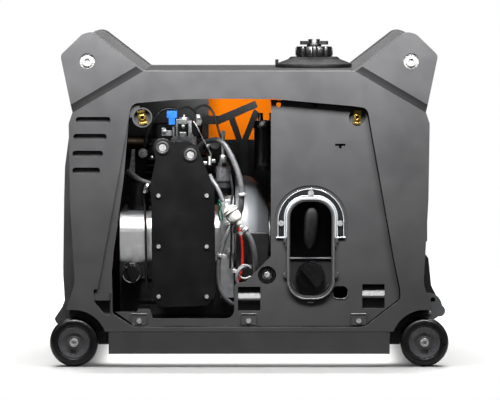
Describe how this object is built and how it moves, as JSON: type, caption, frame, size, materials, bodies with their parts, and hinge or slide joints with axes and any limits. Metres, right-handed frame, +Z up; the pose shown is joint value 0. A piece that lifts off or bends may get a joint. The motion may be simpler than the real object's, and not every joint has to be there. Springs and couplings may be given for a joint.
{
  "type": "portable generator",
  "caption": "Closed-frame inverter generator on wheels with carry bars, its service side open on the engine, recoil starter recess, fuel cap and fold-out pull handle",
  "frame": {"origin": "on the ground under the middle of the machine's outer box, where the wheels stand", "axes": "+X to the air intake end with the fold-out handle, -Y to the open service side with the starter, +Z up"},
  "size_m": [0.623, 0.445, 0.5209],
  "materials": {
    "shell_plastic": "fine-grained charcoal moulded plastic",
    "base_plastic": "fine-grained dark moulded plastic",
    "panel_plastic": "satin dark grey moulded plastic",
    "black_plastic": "satin black moulded plastic",
    "black_gloss": "smooth black plastic",
    "clear_plastic": "clear moulded plastic",
    "orange_plastic": "bright orange moulded plastic",
    "blue_plastic": "blue connector plastic",
    "white_plastic": "milky white plastic",
    "red_plastic": "red wire covering",
    "nylon": "natural nylon",
    "wheel_rubber": "hard black rubber on a plastic hub",
    "soft_rubber": "black rubber",
    "zinc_steel": "bright zinc plated",
    "brass": "plain brass",
    "aluminium": "as-cast aluminium",
    "dark_casting": "painted cast aluminium",
    "inverter_case": "black anodised casting over potted circuits",
    "sheet_steel": "heat-stained sheet steel",
    "grey_steel": "grey painted sheet steel",
    "black_steel": "black painted steel",
    "copper_stack": "steel laminations with copper windings",
    "forged_steel": "machined forged steel",
    "flywheel_iron": "dark cast rotor",
    "filter_foam": "oiled foam",
    "rope": "braided nylon cord"
  },
  "bodies": {
    "machine": {"base_tray": "base_plastic", "service_side_shell": "shell_plastic", "control_side_shell": "shell_plastic", "top_cover": "shell_plastic", "exhaust_end_cover": "shell_plastic", "intake_end_cover": "shell_plastic", "carry_bars": "black_steel", "carry_bar_bolts": "zinc_steel", "inner_panel": "panel_plastic", "starter_recess": "base_plastic", "recess_flange": "clear_plastic", "small_screws": "zinc_steel", "cover_clips": "brass", "crankcase": "aluminium", "cylinder_block": "dark_casting", "cylinder_head": "dark_casting", "air_cleaner_case": "black_plastic", "air_cleaner_cover": "black_plastic", "air_cleaner_element": "filter_foam", "carburetor": "aluminium", "throttle_motor": "aluminium", "wiring_connector": "blue_plastic", "muffler": "sheet_steel", "fan_shroud": "grey_steel", "recoil_housing": "black_plastic", "alternator_stator": "copper_stack", "engine_mounts": "soft_rubber", "choke_actuator": "black_plastic", "frame_brace": "black_steel", "charcoal_canister": "black_plastic", "fuel_tank": "black_plastic", "filler_collar": "soft_rubber", "fuel_filter": "white_plastic", "hose_clamps": "zinc_steel", "fuel_hoses": "soft_rubber", "wiring": "red_plastic", "inverter_module": "inverter_case", "control_panel": "black_plastic", "panel_surround": "orange_plastic", "outlets": "black_gloss", "terminals": "red_plastic", "handle_bracket": "sheet_steel", "axle_bolts": "zinc_steel"},
    "crank": {"crankshaft": "forged_steel", "flywheel_fan": "flywheel_iron"},
    "pulley": {"recoil_pulley": "nylon"},
    "starter": {"starter_grip": "black_plastic", "starter_rope": "rope"},
    "choke_knob": {"choke_dial": "black_plastic"},
    "choke_plunger": {"choke_rod": "zinc_steel"},
    "filler_cap": {"fuel_cap": "black_plastic"},
    "vent": {"cap_vent_lever": "black_plastic"},
    "oil_plug": {"oil_cap": "black_plastic"},
    "handle": {"pull_handle": "black_steel"},
    "wheel_a": {"wheel_service_exhaust": "wheel_rubber"},
    "wheel_b": {"wheel_service_intake": "wheel_rubber"},
    "wheel_c": {"wheel_control_exhaust": "wheel_rubber"},
    "wheel_d": {"wheel_control_intake": "wheel_rubber"},
    "rocker": {"engine_switch": "black_gloss"},
    "breaker": {"breaker_button": "white_plastic"}
  },
  "joints": [
    {"name": "crank_spin", "type": "hinge", "parent": "machine", "child": "crank", "pos_m": [0, -0.03, 0.178], "axis": [1, 0, 0], "continuous": true},
    {"name": "starter_pull", "type": "slide", "parent": "machine", "child": "starter", "axis": [0, -1, 0], "range_m": [0, 0.5], "stiffness_N_per_m": 30, "deforming": ["starter_rope"]},
    {"name": "pulley_spin", "type": "hinge", "parent": "machine", "child": "pulley", "pos_m": [0.096, -0.03, 0.178], "axis": [1, 0, 0], "range_deg": [0, 660]},
    {"name": "choke_turn", "type": "hinge", "parent": "machine", "child": "choke_knob", "pos_m": [0.096, -0.19, 0.14], "axis": [0, 1, 0], "range_deg": [0, 90]},
    {"name": "choke_lift", "type": "slide", "parent": "machine", "child": "choke_plunger", "axis": [0, 0, 1], "range_m": [0, 0.006]},
    {"name": "cap_turn", "type": "hinge", "parent": "machine", "child": "filler_cap", "pos_m": [0.106, 0.045, 0.485], "axis": [0, 0, 1], "range_deg": [0, 90]},
    {"name": "vent_turn", "type": "hinge", "parent": "filler_cap", "child": "vent", "pos_m": [0.106, 0.045, 0.498], "axis": [0, 0, -1], "range_deg": [0, 90]},
    {"name": "oil_plug_turn", "type": "hinge", "parent": "machine", "child": "oil_plug", "pos_m": [-0.1856, -0.16, 0.1407], "axis": [0, -1, 0], "range_deg": [0, 720]},
    {"name": "handle_fold", "type": "hinge", "parent": "machine", "child": "handle", "pos_m": [0.302, 0, 0.079], "axis": [0, 1, 0], "range_deg": [0, 100]},
    {"name": "wheel_spin_service_exhaust", "type": "hinge", "parent": "machine", "child": "wheel_a", "pos_m": [-0.2735, -0.2025, 0.038], "axis": [0, 1, 0], "continuous": true},
    {"name": "wheel_spin_service_intake", "type": "hinge", "parent": "machine", "child": "wheel_b", "pos_m": [0.2735, -0.2025, 0.038], "axis": [0, 1, 0], "continuous": true},
    {"name": "wheel_spin_control_exhaust", "type": "hinge", "parent": "machine", "child": "wheel_c", "pos_m": [-0.2735, 0.2025, 0.038], "axis": [0, 1, 0], "continuous": true},
    {"name": "wheel_spin_control_intake", "type": "hinge", "parent": "machine", "child": "wheel_d", "pos_m": [0.2735, 0.2025, 0.038], "axis": [0, 1, 0], "continuous": true},
    {"name": "switch_rock", "type": "hinge", "parent": "machine", "child": "rocker", "pos_m": [-0.108, 0.2085, 0.301], "axis": [1, 0, 0], "range_deg": [0, 14]},
    {"name": "breaker_press", "type": "slide", "parent": "machine", "child": "breaker", "axis": [0, -1, 0], "range_m": [0, 0.003], "stiffness_N_per_m": 300}
  ],
  "couplings": [
    {"joint": "pulley_spin", "follows": "starter_pull", "rad_per_m": 22.727},
    {"joint": "choke_lift", "follows": "choke_turn", "m_per_rad": 0.00382}
  ]
}
